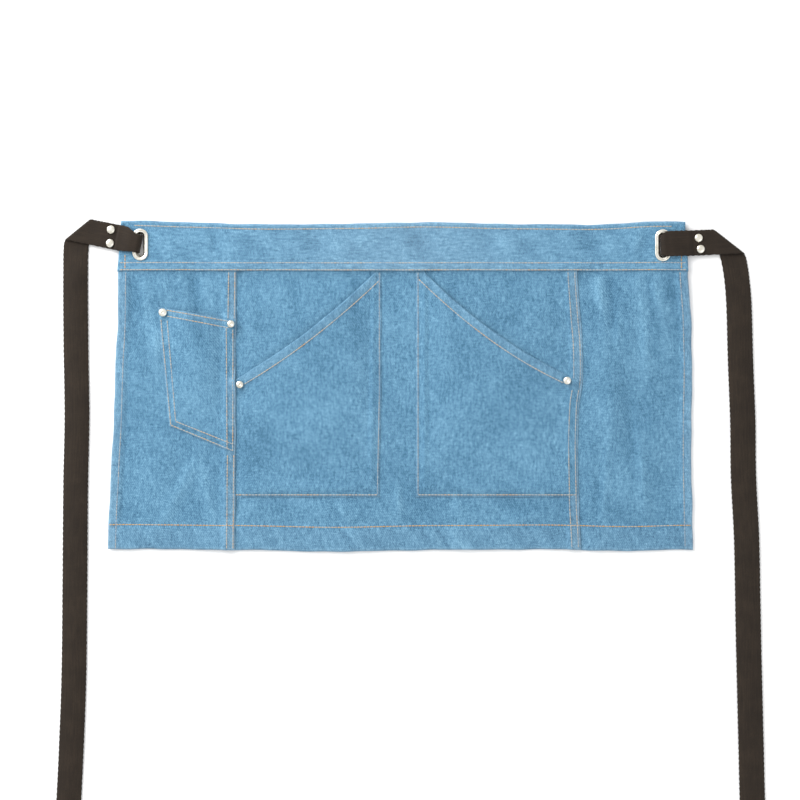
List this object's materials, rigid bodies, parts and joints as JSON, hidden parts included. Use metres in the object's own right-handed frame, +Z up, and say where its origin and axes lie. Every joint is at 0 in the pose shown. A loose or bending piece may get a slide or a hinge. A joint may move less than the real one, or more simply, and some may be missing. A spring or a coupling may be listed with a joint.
{
  "type": "waist apron",
  "caption": "Denim waist apron laid flat: folded waistband with oblong metal eyelets, riveted pen and patch pockets, and webbing ties folded down beside it.",
  "frame": {"origin": "middle of the waistband's back, on the surface that the apron lies on", "axes": "+X across the apron to the right as seen from the front, +Y up the cloth towards the waistband's top fold, +Z up off the surface, out of the apron's front"},
  "size_m": [0.6814, 0.5724, 0.0104],
  "materials": {
    "denim": "washed light blue twill with tan topstitching",
    "webbing": "dark brown ribbed webbing",
    "nickel": "pale polished nickel plate"
  },
  "bodies": {
    "root": {"waistband": "denim", "left_panel": "denim", "centre_panel": "denim", "right_panel": "denim", "pen_pocket": "denim", "left_pocket": "denim", "right_pocket": "denim", "eyelet_left": "nickel", "eyelet_right": "nickel", "strap_left": "webbing", "strap_right": "webbing", "strap_rivet_left_upper": "nickel", "strap_rivet_left_lower": "nickel", "strap_rivet_right_upper": "nickel", "strap_rivet_right_lower": "nickel", "pen_pocket_rivet_left": "nickel", "pen_pocket_rivet_right": "nickel", "left_pocket_rivet": "nickel", "right_pocket_rivet": "nickel"}
  },
  "joints": []
}
